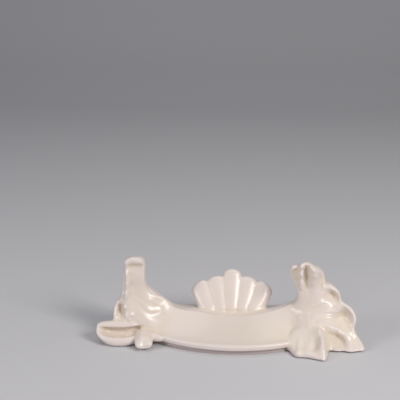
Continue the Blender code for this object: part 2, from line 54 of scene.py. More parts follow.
# The stand
PLATE_RADIUS = 127.0
PLATE_LEAN = math.radians(16)
SEAT_HEIGHT = 22.0  # lowest point of the plate's rim above the table
FRONT_REACH = 47.5  # from the seat to the middle of the bowed front
FRONT_BOW_RADIUS = 125.0
FRONT_BOW_CENTRE = 2.0
BACK_REACH = 54.0
BACK_HEIGHT = 12.0
HALF_LENGTH = 101.0  # of the bed, under the leaves
WALL = 5.0
LIP_OVERHANG = 1.5
LIP_HEIGHT = 10.0
LIP_WIDTH = 3.0  # of the flat along the top of the front edge
CREST = -3.0  # y of the bed's highest line, just in front of the seat
SOLE = 4.35  # underside of the glazed body, just above the foot
FOOT_HEIGHT = 4.0
FOOT_WALL = 5.0
FOOT_SET_BACK = 2.2  # of the foot inside the bed's edge
FOOT_EDGE = 0.4  # rounding of the foot's corners
JOINT_GAP = 0.3
PRONG_CLEARANCE = 2.5  # between the prongs and the plate's face

# How finely it is drawn
VOXEL = 0.85
SOFTENING = 8  # smoothing passes over the merged forms
HOLLOW_SOFTENING = 30  # passes that find where the surface is hollow
FINGER_STATIONS = 40
FINGER_SIDES = 28
BED_STATIONS = 70
OUTLINE_STEPS = 6  # along each side of a leaf's outline
LEAF_SHARES = [0.045 * k for k in range(1, 20)] + [0.885, 0.91, 0.935, 0.955, 0.975, 0.99]
TINY = 1e-9
FAR = 1e9


# ---------------------------------------------------------------- small maths


def metres(point):
    """A design point in millimetres, as the frame's own coordinates."""
    return (Vector(point) - MIDDLE) * MM


def ramp(value, low, high):
    """A smooth step from 0 at low to 1 at high."""
    t = min(max((value - low) / (high - low), 0.0), 1.0)
    return t * t * (3 - 2 * t)


def bell(value, centre, spread):
    return math.exp(-(((value - centre) / spread) ** 2))


def smooth_through(values, where):
    """The value at `where`, from 0 to 1, on a smooth curve through evenly spaced numbers or vectors."""
    last = len(values) - 1
    span = min(int(where * last), last - 1)
    t = where * last - span
    before = values[span - 1] if span else values[0] * 2 - values[1]
    after = values[span + 2] if span + 2 <= last else values[last] * 2 - values[last - 1]
    start, end = values[span], values[span + 1]
    return (
        start * 2
        + (end - before) * t
        + (before * 2 - start * 5 + end * 4 - after) * t**2
        + (start * 3 - before - end * 3 + after) * t**3
    ) * 0.5


def smooth_outline(corners, steps):
    """A closed smooth curve through the corners, each span in that many steps."""
    corners = [Vector(c) for c in corners]
    count = len(corners)
    points = []
    for i in range(count):
        p0, p1, p2, p3 = (corners[(i + k) % count] for k in (-1, 0, 1, 2))
        for s in range(steps):
            t = s / steps
            points.append((p1 * 2 + (p2 - p0) * t + (p0 * 2 - p1 * 5 + p2 * 4 - p3) * t**2
                           + (p1 * 3 - p0 - p2 * 3 + p3) * t**3) * 0.5)
    return points


# ---------------------------------------------------------------- forms


def skin(rings, tips):
    """A closed mesh over rings of points; each end is drawn in to its tip, or closed flat if that is None."""
    bm = bmesh.new()
    loops = [[bm.verts.new(metres(p)) for p in ring] for ring in rings]
    for a, b in zip(loops, loops[1:]):
        for k in range(len(a)):
            n = (k + 1) % len(a)
            bm.faces.new((a[k], a[n], b[n], b[k]))
    for loop, tip in zip((loops[0], loops[-1]), tips):
        if tip is None:
            bm.faces.new(loop)
            continue
        pole = bm.verts.new(metres(tip))
        for k in range(len(loop)):
            bm.faces.new((pole, loop[(k + 1) % len(loop)], loop[k]))
    bmesh.ops.recalc_face_normals(bm, faces=bm.faces)
    mesh = bpy.data.meshes.new("form")
    bm.to_mesh(mesh)
    bm.free()
    return mesh


def finger(spine, widths, thicks, face):
    """A tapering finger with rounded ends; face is the way its broad side looks."""
    spine = [Vector(p) for p in spine]
    length = sum((b - a).length for a, b in zip(spine, spine[1:]))
    face = Vector(face)
    rings = []
    for i in range(FINGER_STATIONS):
        where = 0.5 - 0.5 * math.cos(math.pi * (i + 0.2) / (FINGER_STATIONS - 0.6))
        centre = smooth_through(spine, where)
        ahead = smooth_through(spine, min(where + 0.01, 1)) - smooth_through(spine, max(where - 0.01, 0))
        ahead.normalize()
        out = (face - ahead * face.dot(ahead)).normalized()
        across = ahead.cross(out)
        width = smooth_through(widths, where)
        thick = smooth_through(thicks, where)
        reach = max(min((width + thick) / 2 / length, 0.49), 0.02)
        edge = min(where, 1 - where) / reach
        closing = math.sqrt(max(1 - (1 - edge) ** 2, 0)) if edge < 1 else 1.0
        ring = []
        for k in range(FINGER_SIDES):
            turn = math.tau * k / FINGER_SIDES
            ring.append(centre + (across * width * math.cos(turn) + out * thick * math.sin(turn)) * closing)
        rings.append(ring)
    return skin(rings, [spine[0], spine[-1]])


def relief(lines, give=0.3):
    """A smooth depth over (across, up) that passes near every (across, depth, up) point of the lines."""
    points = np.array([point for line in lines for point in line], dtype=float)
    spots, depths = points[:, (0, 2)], points[:, 1]
    count = len(points)
    system = np.zeros((count + 3, count + 3))
    gaps = ((spots[:, None] - spots[None]) ** 2).sum(2)
    system[:count, :count] = gaps * np.log(gaps + TINY) + np.eye(count) * give
    system[:count, count] = system[count, :count] = 1
    system[:count, count + 1:] = spots
    system[count + 1:, :count] = spots.T
    weights = np.linalg.solve(system, np.append(depths, (0, 0, 0)))

    def depth(across, up):
        gap = ((spots - (across, up)) ** 2).sum(1)
        return float(weights[:count] @ (gap * np.log(gap + TINY)) + weights[count:] @ (1, across, up))

    return depth


def leaf(root, corners, face, back, rounding=0.11, rim=0.0, lying=False):
    """A leaf from its outline and its two faces; one that is lying is seen from above.

    Rounding is the share of the way out over which its edge is rounded, and rim is how far it is raised.
    """
    root = Vector(root)
    outline = smooth_outline(corners, OUTLINE_STEPS)

    def at(share, corner, is_face):
        across, up = root + (corner - root) * share
        near, far = face(across, up), back(across, up)
        if is_face:
            near -= rim * bell(share, 0.93, 0.045)
        middle = (near + far) / 2
        inside = max((share - 1 + rounding) / rounding, 0)
        depth = middle + ((near if is_face else far) - middle) * math.sqrt(max(1 - inside**2, 0))
        return Vector((across, up, depth)) if lying else Vector((across, depth, up))

    rings = [[at(share, corner, True) for corner in outline] for share in LEAF_SHARES]
    rings += [[at(1.0, corner, True) for corner in outline]]
    rings += [[at(share, corner, False) for corner in outline] for share in reversed(LEAF_SHARES)]
    return skin(rings, [at(0.0, root, True), at(0.0, root, False)])


def behind_prong(z, furthest):
    """Y of the back of a prong: clear of the plate above, and well inside the bed below."""
    plate_face = (z - SEAT_HEIGHT) * math.tan(PLATE_LEAN)
    return min(plate_face - PRONG_CLEARANCE, furthest) + 7.0 * (1 - ramp(z, 20, 50))


def apron_line(x):
    """Points on the bed's sloping front at x, for a relief to join."""
    heights = [12 + (seat_height(x) - 15) * k / 4 for k in range(5)]
    return [(x, apron_depth(x, z), z) for z in heights]


def apron_depth(x, z):
    """Y of the bed's sloping front."""
    seat = seat_height(x)
    inner = front_edge(x) - LIP_OVERHANG + LIP_WIDTH
    share = max((z - LIP_HEIGHT) / (seat - LIP_HEIGHT), 0) ** (1 / apron_hollow(x))
    return inner + (CREST - inner) * share


# Lines of points (x, y, z) that the faces of the leaves pass through.
LEFT_LINES = [
    [(-97, -12, 79.5), (-91, -13, 80.5), (-86, -12, 79)],  # rolled tip
    [(-97.5, -8.6, 72.5), (-92, -7.4, 72), (-86, -7.4, 72.5)],  # the hollow under it
    [(-97.5, -9.8, 65), (-91, -9.4, 65.5), (-85, -8, 65)],
    [(-98, -10.4, 55.5), (-92, -9.2, 55), (-85.5, -8, 55)],
    [(-98.5, -11.5, 45.5), (-92, -10, 45.5), (-84.5, -8.6, 46)],
    [(-101, -11, 76), (-100.8, -12, 66), (-100.8, -12.6, 56), (-101.8, -13.4, 46)],  # crest beside the edge
    [(-105, -6, 68.5), (-105.6, -6.4, 56), (-106.2, -7.4, 47.5)],
    [(-79, -6, 47.5), (-78.5, -9, 39.5), (-78, -11, 33.5), (-77.5, -14, 27), (-77.5, -17.5, 20.5),
     (-77, -21, 14.5)],
    [(-71, -5, 40), (-70.5, -7.6, 32), (-70, -10.8, 26), (-69.5, -14.8, 20.5), (-69.5, -19.4, 15)],
    [(-88, -11.5, 38.5), (-87.5, -14.5, 31.5), (-87.5, -17.5, 25), (-87.5, -20, 18.5), (-88, -15, 10)],
    [(-95.5, -13.5, 37.5), (-95.5, -16.5, 31), (-96, -18.5, 25), (-96, -19, 18.5), (-97, -12, 10)],
    [(-110.6, -11, 36), (-112, -13, 30), (-111.5, -15, 25)],  # outer rim of the pool
    [(-108, -8.6, 31.5), (-106.8, -11.4, 26)],  # the pool
    [(-102.5, -15, 33.5), (-102, -18.5, 26), (-107, -17.5, 21), (-108, -18, 12)],
]


def left_prong():
    corners = [
        (-44, 12.6), (-45, 18), (-52, 25.5), (-64, 37.6), (-72, 42.5), (-79, 46.5), (-83, 53), (-84, 63),
        (-83.6, 74), (-85.5, 80.5), (-91, 82), (-97, 81.6), (-101.5, 79), (-104, 72), (-105.6, 62),
        (-107, 51), (-108.3, 42), (-111.5, 36.5), (-114.3, 29), (-114.8, 20), (-111, 11), (-103, 5),
        (-90, 5), (-72, 6),
    ]
    depth = relief(LEFT_LINES + [apron_line(-46), apron_line(-54), apron_line(-62)])

    def back(x, z):
        thinner = 4.5 * ramp(x, -84, -70) * ramp(z, 26, 40)
        return behind_prong(z, 6.0) - 2.0 * ramp(z, 70, 82) - thinner

    return leaf((-92.0, 34.0), corners, depth, back)


RIGHT_LINES = [
    # prong, from the top down
    [(57.6, -12, 74.5), (58.6, -6.4, 68), (60.4, -5.4, 61), (62, -6.4, 55)],
    [(62.6, -8.4, 73), (63.2, -7.2, 65)],
    [(66.4, -14.6, 77), (66.7, -13.6, 69), (67, -12, 60)],
    [(71, -11.4, 77), (71, -9.8, 73), (71.2, -9.2, 69), (71.4, -8.8, 65), (71.6, -8.8, 61), (71.8, -9.2, 57)],
    [(75.4, -17, 76), (76.6, -17, 69.5), (77, -13.4, 61)],
    [(81.2, -14.5, 72), (82.5, -11, 63.5)],
    [(86.6, -5.4, 64), (87.7, -6, 57)],
    [(65, -8.8, 51), (70.6, -9.6, 51.5), (77, -10.8, 52), (84.5, -9.2, 52)],
    [(65.2, -8.5, 43), (71.6, -10.5, 43.5), (78.4, -11, 44), (86, -10.5, 44)],
    [(60, -8.5, 30), (66.3, -10.5, 34.5), (75.6, -12.5, 35.5), (85, -13, 36)],
    [(60, -16, 22), (66.3, -15.5, 26), (75.6, -18, 27.5), (85, -19.5, 27)],
    [(60, -23, 15), (66, -22.5, 20), (76.3, -26, 20.5)],
    # the fan's upper lobe
    [(94.7, -6.5, 52), (100.5, -7, 51), (104, -8.6, 46)],
    [(99, -2.4, 44.5), (94, -4.4, 45), (96.5, -2.6, 48)],
    [(101.7, -7.4, 40.6), (94.8, -10.5, 39.5)],
    # its middle lobe
    [(94.8, -13.5, 34), (102.4, -13, 36.5), (111, -14.5, 36), (115.7, -16.5, 31), (116.3, -19, 24)],
    [(109.4, -11, 29), (101.6, -13.6, 27.5), (109.2, -15, 22.5)],
    [(94.7, -19, 26), (102.4, -20, 20.5), (111, -22, 17.5), (115.7, -22, 17)],
    # the fold above its lower lobe, and the hollow below
    [(88.7, -25.5, 19.5), (96.4, -25.5, 18), (104, -26, 15.3), (109.8, -28, 11), (113.4, -33, 6)],
    [(93.7, -24.5, 13.2), (100.7, -22, 10), (105.5, -25, 6.5), (108.6, -31, 4.4)],
    [(93.4, -31, 8.7), (100, -31.5, 6.4)],
    [(118.5, -25, 11), (122, -28.5, 7.6), (125, -32.5, 4.3), (119, -32.5, 4.2)],
    [(97, -35, 2.6), (104, -35, 2.6), (110, -36.5, 2.4), (116, -37.5, 2), (122, -36, 1.6)],
]


def right_depth():
    """The face that the right prong and the fan share, so that they run into each other."""
    return relief(RIGHT_LINES + [apron_line(48), apron_line(54)])


def right_prong(depth):
    corners = [
        (50, 25.5), (57, 33), (62.5, 39.4), (63.8, 45), (62, 51.5), (59, 58.5), (56.3, 65.5),
        (55.2, 71.5), (56.8, 75.8), (60.3, 77.2), (63.2, 76.8), (65.8, 79.3), (70, 80.8), (74.6, 80.3),
        (78, 78.8), (82.2, 76), (86, 72), (88.9, 67), (90.3, 60), (92.5, 50), (97, 36), (98, 20),
        (88, 10), (66, 10), (48, 13),
    ]

    def back(x, z):
        thinner = 4.0 * ramp(-x, -66, -56) * ramp(z, 24, 36) * (1 - ramp(z, 40, 50))
        return behind_prong(z, 5.0) - 8.0 * ramp(z, 60, 80) - thinner

    return leaf((76.0, 42.0), corners, depth, back)


def right_fan(depth):
    corners = [
        (78, 50), (88, 56.5), (94.6, 57), (99.3, 54.4), (103.3, 50.6), (105.2, 45.4), (106.2, 42),
        (109, 40.2), (113.6, 38), (117.8, 33.6), (120, 28), (119.6, 22.5), (118.4, 18.6), (119.6, 14.8),
        (122.8, 10), (126.2, 5.6), (127.4, 1.8), (122, 0.8), (108, 0.8), (94.8, 0.8), (80, 4), (72, 26),
    ]

    def back(x, z):
        return max(depth(x, z) + 6.5, -27.0 + 21.0 * ramp(z, -6, 46)) + 9.0 * ramp(-x, -108, -84)

    return leaf((88.0, 24.0), corners, depth, back, rim=1.0)


# The toe lies down and is drawn from above: a corner of it is (x, y), and a point on its face (x, z, y).
TOE_LINES = [
    # its ridge
    [(84.5, 21, -33), (86.6, 17.6, -41), (87.8, 13.4, -46.5), (88.2, 9.2, -51), (88, 5, -55)],
    # its long left face, from the apron to the front edge
    [(60, 17, -24), (68, 20, -22.5), (76, 20.5, -26), (90, 17, -24)],
    [(58, 12, -32), (65.9, 14.6, -31), (74, 15, -33), (80.4, 14.6, -37)],
    [(58.5, 8.6, -38), (68.5, 10.2, -38.5), (75.8, 9.8, -41), (81.4, 9.6, -44)],
    [(60, 5.4, -45.5), (63.6, 6.4, -47.5), (70, 6, -49), (76.4, 5.6, -51), (82.6, 5, -54)],
    # its short right face
    [(91.6, 8.4, -36), (91.4, 5, -43), (90.4, 4.2, -50)],
    # where it runs back inside the bed
    [(53, 14, -18), (68, 20, -13), (86, 25, -15), (96, 12, -26)],
]


def right_toe():
    corners = [
        (52, -32), (56, -39), (59.4, -47.5), (62.4, -50.8), (69, -51.4), (75.5, -53), (82, -55.6),
        (87.9, -57.6), (90.6, -51), (92, -44), (93.5, -36), (96, -26), (86, -14), (68, -12), (52.6, -18),
    ]

    def underside(x, y):
        return 0.8

    return leaf((76.0, -34.0), corners, relief(TOE_LINES), underside, rounding=0.08, lying=True)


# Sections of the folded leaf, as (y, z) from its centre: open where it is a channel, and shut near its end.
FOLD_OPEN = [
    (8.0, 9.0), (3.5, 9.4), (-0.8, 5.6), (3.2, 3.6), (6.2, 0.2), (3.4, -3.6), (-1.6, -4.8), (-5.4, -3.2),
    (-7.8, -2.2), (-10.4, -4.0), (-11.4, -7.0), (-9.4, -10.3), (-1.0, -10.4), (9.0, -6.0), (12.0, 2.0),
    (11.4, 7.0),
]
FOLD_SHUT = [
    (8.0, 8.4), (3.0, 8.8), (-1.6, 7.0), (-3.6, 5.2), (-5.0, 3.2), (-6.2, 1.4), (-7.2, -0.4),
    (-8.4, -2.0), (-9.6, -3.6), (-10.6, -5.4), (-11.0, -7.4), (-8.8, -10.0), (-1.0, -10.0), (8.0, -6.0),
    (11.0, 1.0), (10.6, 6.0),
]


def folded_leaf():
    """A channel that opens forward, between an upper blade and a lower lobe, drawn in to a blunt end."""
    stations = [
        # x, centre (y, z), size, how open
        (-78, (-17.0, 13.4), 0.74, 1.0), (-87, (-19.5, 12.4), 0.88, 1.0), (-96, (-22.6, 11.5), 0.98, 1.0),
        (-104, (-24.0, 11.1), 1.0, 1.0), (-112, (-24.0, 11.0), 1.0, 1.0), (-118, (-23.6, 11.4), 0.93, 0.95),
        (-122.5, (-23.1, 12.2), 0.81, 0.7), (-126.6, (-22.7, 13.3), 0.63, 0.3),
        (-129.2, (-22.5, 14.0), 0.44, 0.1),
    ]
    count = 34
    rings = []
    for i in range(count):
        where = i / (count - 1)
        x, size, opened = (smooth_through([s[k] for s in stations], where) for k in (0, 2, 3))
        centre = Vector(smooth_through([Vector(s[1]) for s in stations], where))
        corners = [Vector(a) * opened + Vector(b) * (1 - opened) for a, b in zip(FOLD_OPEN, FOLD_SHUT)]
        section = smooth_outline([centre + corner * size for corner in corners], 4)
        rings.append([Vector((x, p.x, p.y)) for p in section])
    tip = sum(rings[-1], Vector()) / len(rings[-1]) - Vector((0.6, 0, 0))
    return skin(rings, (None, tip))


SLOPE = (0, -0.5, 0.85)


def small_forms():
    """The fingers on the left, and the five ribs of the shell that the plate leans on."""
    # roll at the top of the left prong
    roll = [2.4, 3.2, 3.6, 3.2, 2.4]
    yield finger([(-101.8, -3.5, 71), (-100, -6.6, 77), (-94, -7.6, 78.8), (-88, -7.0, 77.6),
                  (-85.8, -4, 73)], roll, roll, (0, -1, 0))
    # left toe, and the web from it to the front edge
    yield finger([(-86, -16, 10), (-84, -27, 9.5), (-82.4, -36.5, 7.6), (-82.2, -44.6, 4.0)],
                 [8, 8, 8.8, 8.4], [4.6, 4.6, 4.6, 3.4], SLOPE)
    yield finger([(-84, -24, 8.6), (-74, -28, 8.6), (-64, -29.6, 8)], [6, 4.6, 3.4], [5, 4.0, 3.2], SLOPE)
    # rear shell
    for step in (-2, -1, 0, 1, 2):
        side = abs(step)
        yield finger(
            [(9.0 * step, 10, 17), (12.5 * step, 18 - side, 31 - 2.2 * side),
             (15.5 * step, 27.6 - 2 * side, 46 - 4 * side), (18.0 * step, 34 - 3 * side, 57 - 7 * side)],
            [8, 9.1, 9.7, 8], [6, 5, 4.4, 3.6], (0.0, -1.0, 0.45))


def rim_height(x):
    """Height of the plate's rim above the table at x, for a plate leaning on the stand."""
    return SEAT_HEIGHT + (PLATE_RADIUS - math.sqrt(PLATE_RADIUS**2 - x**2)) * math.cos(PLATE_LEAN)


def front_edge(x):
    """Y of the bed's front, a shallow bow."""
    x = min(max(x, -76.0), 80.0)
    return -FRONT_REACH + FRONT_BOW_RADIUS - math.sqrt(FRONT_BOW_RADIUS**2 - (x - FRONT_BOW_CENTRE) ** 2)


def back_edge(x):
    """Y of the back, which rounds off towards both ends."""
    return BACK_REACH * (1 - 0.75 * abs(x / HALF_LENGTH) ** 3.2) ** 0.7


def seat_height(x):
    """Height of the bed along the seat: it follows the plate's rim, and falls at the ends."""
    slack = 0.4 + 4.4 * bell(x, -54, 14)
    height = rim_height(max(min(x, 64.0), -86.0)) - slack
    if x > 64:
        height -= 0.012 * (x - 64) ** 2
    if x < -86:
        height -= 0.075 * (x + 86) ** 2
    return height


def apron_hollow(x):
    """How strongly the apron's slope is hollowed at x; 1 is a straight slope."""
    return 1.15 + 0.9 * min(abs(x) / HALF_LENGTH, 1.0) ** 2


def bed_section(x, inset):
    """(y, z) points of one cross-section of the bed, from the front sole over the top to the back sole."""
    front = front_edge(x) - LIP_OVERHANG + inset
    back = max(back_edge(x), front_edge(x) + 4) - inset
    seat = seat_height(x) - inset
    lip = LIP_HEIGHT - inset
    sole = SOLE if inset == 0 else -1.0
    crest = min(CREST + inset * 0.3, back - 6)
    inner = front + LIP_WIDTH
    run = max(crest - inner, 1.0)
    hollow = apron_hollow(x)
    points = [(front + 1.4, sole), (front + 0.4, sole + 0.4), (front, sole + 1.4), (front, lip - 1.6)]
    points += [(front + 0.5, lip - 0.4), (front + 1.6, lip + 0.15), (inner, lip + 0.3)]
    for k in range(1, 12):
        share = k / 12
        points.append((inner + run * share, lip + 0.3 + (seat - lip) * share**hollow))
    points += [(crest, seat + 0.3), (crest + 1.5, seat + 0.2), (crest + 3.0, seat - 0.9)]
    points += [(crest + 5, seat - 1.3), (crest + 8.5, seat - 0.8)]
    deck = crest + 8.5
    tail = BACK_HEIGHT - inset
    for k in range(1, 9):
        share = k / 9
        points.append((deck + (back - 4 - deck) * share, tail + (seat - 0.8 - tail) * (1 - share) ** 0.8))
    points += [(back - 4, tail), (back - 1.2, tail - 1.2), (back, tail - 4)]
    points += [(back - 0.2, sole + 1), (back - 1.2, sole)]
    return points


def bed(inset, half_length):
    """The bed, or with an inset the hollow inside it."""
    rings = []
    for i in range(BED_STATIONS):
        x = -half_length * math.cos(math.pi * i / (BED_STATIONS - 1))
        rings.append([Vector((x, y, z)) for y, z in bed_section(x, inset)])
    return skin(rings, (None, None))


# ---------------------------------------------------------------- merging and softening


def new_object(name, mesh):
    """An object of that mesh, in the scene."""
    obj = bpy.data.objects.new(name, mesh)
    bpy.context.scene.collection.objects.link(obj)
    return obj


def applied(obj):
    """obj's mesh with its modifiers applied."""
    bpy.context.view_layer.update()
    graph = bpy.context.evaluated_depsgraph_get()
    mesh = bpy.data.meshes.new_from_object(obj.evaluated_get(graph))
    obj.modifiers.clear()
    obj.data = mesh
    return mesh


def merged_forms():
    """The bed with all its leaves and fingers, as one softened surface."""
    bm = bmesh.new()
    depth = right_depth()
    meshes = [bed(0.0, HALF_LENGTH), left_prong(), right_prong(depth), right_fan(depth)]
    meshes += [right_toe(), folded_leaf(), *small_forms()]
    for mesh in meshes:
        bm.from_mesh(mesh)
    mesh = bpy.data.meshes.new("whole")
    bm.to_mesh(mesh)
    bm.free()
    obj = new_object("whole", mesh)
    remesh = obj.modifiers.new("remesh", "REMESH")
    remesh.mode = "VOXEL"
    remesh.voxel_size = VOXEL * MM
    applied(obj)
    soften = obj.modifiers.new("soften", "SMOOTH")
    soften.factor = 0.5
    soften.iterations = SOFTENING
    applied(obj)
    return obj


def co_array(mesh):
    """The places of the mesh's vertices, in metres."""
    co = np.empty(len(mesh.vertices) * 3)
    mesh.vertices.foreach_get("co", co)
    return co.reshape(-1, 3)


def normal_array(mesh):
    """The normals of the mesh's vertices."""
    no = np.empty(len(mesh.vertices) * 3)
    mesh.vertex_normals.foreach_get("vector", no)
    return no.reshape(-1, 3)


# Fine modelling on the front, as (points (x, z), reach, height): raised if the height is above zero.
STROKES = [
    # left prong: a crest beside its outer edge, a groove outside it, and the hollow under the rolled tip
    ([(-101.3, 77), (-100.6, 66), (-100.8, 54), (-101.8, 42)], 1.5, 1.2),
    ([(-103.6, 72), (-103.4, 58), (-104.2, 45)], 1.2, -1.3),
    ([(-98.5, 73.4), (-92, 72.6), (-86, 73.4)], 2.2, -0.6),
    # soft swirls where it spreads into the apron
    ([(-98, 50), (-95, 44), (-88.5, 38), (-80, 30.5), (-71, 29)], 2.0, 0.35),
    ([(-92, 43), (-86, 34), (-78, 26.5), (-68, 25.5)], 2.4, -0.3),
    ([(-88, 28), (-78, 21.5), (-66, 20.5)], 2.6, 0.3),
    ([(-80, 40), (-72, 34.5), (-64, 31)], 2.0, 0.2),
    # rim and pool of the outer swelling, with beads beside it
    ([(-110.6, 37), (-112.4, 31), (-112.2, 25)], 1.3, 0.8),
    ([(-107.6, 32), (-106.6, 27)], 2.6, -1.2),
    ([(-103.4, 32.5)], 1.7, 1.3),
    ([(-96, 26.5)], 1.8, 1.2),
    ([(-98, 22.4)], 1.6, 1.2),
    ([(-95, 18.6)], 1.7, 1.2),
    ([(-84.5, 12.4)], 2.0, 0.9),
    # left toe
    ([(-81.6, 8), (-81, 5)], 3.6, -2.2),
    ([(-87, 5), (-83, 1.8), (-78, 3.4)], 1.5, 0.8),
    # creases down the right toe
    ([(65.5, 12), (62.6, 5)], 1.5, 0.5),
    ([(69.4, 10), (67, 5)], 1.6, -0.5),
    ([(76, 13), (73, 5)], 2.0, 0.4),
    # ridges spreading over the fan from the foot of the right prong
    ([(78, 28), (90, 33), (102, 32.5)], 1.4, 0.7),
    ([(80, 25), (92, 28), (104, 26)], 1.4, -0.6),
    ([(78, 37), (88, 41), (96, 40.5)], 1.5, 0.6),
    ([(84, 22.5), (94, 21.4), (103, 18)], 1.3, 0.7),
    # beads at the foot of the right prong
    ([(65.8, 26)], 1.9, 0.5),
    # crests and grooves of the right prong
    ([(66.4, 78), (66.7, 66), (67, 54)], 1.4, 1.3),
    ([(71, 77), (71.3, 66), (72, 54)], 1.8, -0.8),
    ([(75, 78), (79, 74), (81.5, 66)], 1.6, 1.0),
    ([(84.6, 70), (85.4, 62), (86.6, 52)], 1.4, -1.1),
]


def carve(obj):
    """Pushes the front of the surface in or out along the strokes."""
    mesh = obj.data
    co = co_array(mesh)
    no = normal_array(mesh)
    place = co / MM + np.array(MIDDLE)
    front = np.clip(-no[:, 1] * 2.5 + no[:, 2] * 0.6, 0, 1) * (place[:, 1] < 1)
    push = np.zeros(len(co))
    for points, reach, height in STROKES:
        line = [Vector(p) for p in points]
        if len(line) == 1:
            line += [line[0] + Vector((0.1, 0))]
        count = len(line) * 6
        fine = [np.array(smooth_through(line, i / count)) for i in range(count + 1)]
        low, high = np.min(fine, axis=0) - reach * 3, np.max(fine, axis=0) + reach * 3
        spots = place[:, (0, 2)]
        near = np.nonzero(((spots > low) & (spots < high)).all(1) & (front > 0))[0]
        away = np.full(len(near), FAR)
        for a, b in zip(fine, fine[1:]):
            ab = b - a
            t = np.clip((spots[near] - a) @ ab / (ab @ ab), 0, 1)
            away = np.minimum(away, np.linalg.norm(spots[near] - a - t[:, None] * ab, axis=1))
        push[near] += height * MM * np.exp(-((away / reach) ** 2)) * front[near]
    co += no * push[:, None]
    mesh.vertices.foreach_set("co", co.ravel())
    mesh.update()


def mark_hollows(obj):
    """Stores how hollow the surface is at each point, for the glaze that pools there."""
    before = co_array(obj.data)
    soft = obj.copy()
    soft.data = obj.data.copy()
    bpy.context.scene.collection.objects.link(soft)
    smooth = soft.modifiers.new("soften", "SMOOTH")
    smooth.factor = 0.5
    smooth.iterations = HOLLOW_SOFTENING
    after = co_array(applied(soft))
    bpy.data.objects.remove(soft)
    depth = ((after - before) * normal_array(obj.data)).sum(1) / MM
    hollow = np.clip(depth + 0.5, 0, 1)
    layer = obj.data.attributes.new("hollow", "FLOAT", "POINT")
    layer.data.foreach_set("value", hollow.astype(np.float32))


# ---------------------------------------------------------------- castings


# Each casting is what lies in one block of the whole form: its low and high corner.
CASTINGS = {
    "left_prong": ((-125, -40, 30), (-79.3, 40, 100)),
    "left_folded_leaf": ((-140, -60, -5), (-95.6, -1, 29.7)),
    "left_toe_scroll": ((-95.3, -60, -5), (-71, -27, 29.7)),
    "right_prong": ((50, -41, 48), (141, 41, 100)),
    "right_fan_leaf": ((91, -42, 22), (142, 42, 47.7)),
    "right_leaf_tip": ((94, -50, -5), (143, 43, 21.7)),
    "right_toe_leaf": ((54, -80, -5), (93.7, -33, 32)),
    "rear_shell": ((-46, 14, 24), (46, 45, 80)),
}


def block(low, high):
    """A box-shaped cutter between two corners."""
    bm = bmesh.new()
    low, high = Vector(low), Vector(high)
    size, centre = high - low, metres((low + high) / 2)
    bmesh.ops.create_cube(bm, size=MM, matrix=Matrix.Translation(centre) @ Matrix.Diagonal((*size, 1)))
    mesh = bpy.data.meshes.new("block")
    bm.to_mesh(mesh)
    bm.free()
    return new_object("block", mesh)


def combine(obj, other, operation):
    """Cuts obj with the other object."""
    modifier = obj.modifiers.new("cut", "BOOLEAN")
    modifier.operation = operation
    modifier.solver = "MANIFOLD"
    modifier.object = other
    applied(obj)


def main_body(mesh):
    """Keeps the largest connected body."""
    bm = bmesh.new()
    bm.from_mesh(mesh)
    left = set(bm.verts)
    bodies = []
    while left:
        body, edge = set(), [left.pop()]
        while edge:
            vert = edge.pop()
            body.add(vert)
            near = {e.other_vert(vert) for e in vert.link_edges} & left
            left -= near
            edge += near
        bodies.append(body)
    bodies.sort(key=len)
    for body in bodies[:-1]:
        bmesh.ops.delete(bm, geom=list(body), context="VERTS")
    bm.to_mesh(mesh)
    bm.free()


# ---------------------------------------------------------------- the foot


def foot_outline():
    """Plan of the foot, front edge first, with the toe and the leaf on the right."""
    front = [(x, front_edge(x) + FOOT_SET_BACK) for x in range(-88, 57, 8)]
    toe = [(61.5, -43.5), (66, -47), (75, -48.6), (82, -50.6), (86, -51), (88.6, -42.4), (92.3, -32)]
    leaf_part = [(103, -28.4), (113, -29.6), (119, -27.6), (115, -19), (104, -6)]
    stations = (98, 92, 86, 78, 70, 55, 40, 20, 0, -20, -40, -55, -70, -80, -86)
    back = [(x, back_edge(x) - FOOT_SET_BACK) for x in stations]
    return [Vector(p) for p in front + toe + leaf_part + back]


def foot_hollow():
    """Plan of the opening under the stand, one wall's width inside the foot."""
    stations = (-84, -77, -70, -60, -50, -37, -25, -12, 0, 12, 25, 37, 50, 60, 70, 77, 84)
    inner = [Vector((x, front_edge(x) + FOOT_SET_BACK + FOOT_WALL)) for x in stations]
    return inner + [Vector((x, back_edge(x) - FOOT_SET_BACK - FOOT_WALL)) for x in reversed(stations)]


def flat_ring(name, loops, bottom, top, edge, grow=0.0):
    """A plate between two heights over closed loops, widened by grow and with its corners rounded by edge."""
    curve = bpy.data.curves.new(name, "CURVE")
    curve.dimensions = "2D"
    curve.fill_mode = "BOTH"
    curve.extrude = ((top - bottom) / 2 - edge) * MM
    curve.bevel_depth = edge * MM
    curve.bevel_resolution = 2
    curve.offset = (grow - edge) * MM
    for loop in loops:
        spline = curve.splines.new("POLY")
        spline.points.add(len(loop) - 1)
        for point, place in zip(spline.points, loop):
            point.co = (*((place - MIDDLE.xy) * MM), 0, 1)
        spline.use_cyclic_u = True
    obj = bpy.data.objects.new(name, curve)
    obj.location.z = (top + bottom) / 2 * MM
    bpy.context.scene.collection.objects.link(obj)
    bpy.context.view_layer.update()
    graph = bpy.context.evaluated_depsgraph_get()
    mesh = bpy.data.meshes.new_from_object(obj.evaluated_get(graph))
    mesh.transform(obj.matrix_world)
    bpy.data.objects.remove(obj)
    bm = bmesh.new()
    bm.from_mesh(mesh)
    bmesh.ops.remove_doubles(bm, verts=bm.verts, dist=0.01 * MM)
    bmesh.ops.recalc_face_normals(bm, faces=bm.faces)
    bm.to_mesh(mesh)
    bm.free()
    return new_object(name, mesh)


# ---------------------------------------------------------------- the pieces


